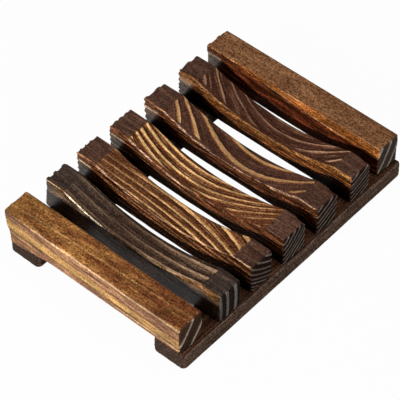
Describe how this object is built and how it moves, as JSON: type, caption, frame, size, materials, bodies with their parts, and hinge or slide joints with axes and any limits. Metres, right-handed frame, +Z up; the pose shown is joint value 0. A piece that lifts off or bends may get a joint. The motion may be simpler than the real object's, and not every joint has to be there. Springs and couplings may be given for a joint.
{
  "type": "soap dish",
  "caption": "Rectangular slatted wooden soap dish on rails, with the middle slats hollowed to hold a bar of soap and open gaps that let water drain.",
  "frame": {"origin": "middle of the underside's bounding box, on the surface that the dish stands on", "axes": "+X across the bars from the front bar to the back bar, +Y along the bars towards the left rail, +Z up"},
  "size_m": [0.1152, 0.081, 0.02],
  "materials": {
    "honey_wood": "lightly charred, brushed and lacquered honey-brown softwood, satin",
    "brown_wood": "charred, brushed and lacquered brown softwood, satin",
    "dark_wood": "deeply charred and brushed softwood with pale growth rings in the hollow, satin",
    "rail_wood": "dark charred softwood, matt",
    "nail_steel": "plain bright wire"
  },
  "bodies": {
    "root": {"right_rail": "rail_wood", "left_rail": "rail_wood", "front_bar": "honey_wood", "slat_1": "dark_wood", "slat_2": "dark_wood", "slat_3": "dark_wood", "slat_4": "dark_wood", "slat_5": "dark_wood", "back_bar": "brown_wood", "front_bar_nails": "nail_steel", "slat_1_nails": "nail_steel", "slat_2_nails": "nail_steel", "slat_3_nails": "nail_steel", "slat_4_nails": "nail_steel", "slat_5_nails": "nail_steel", "back_bar_nails": "nail_steel"}
  },
  "joints": []
}
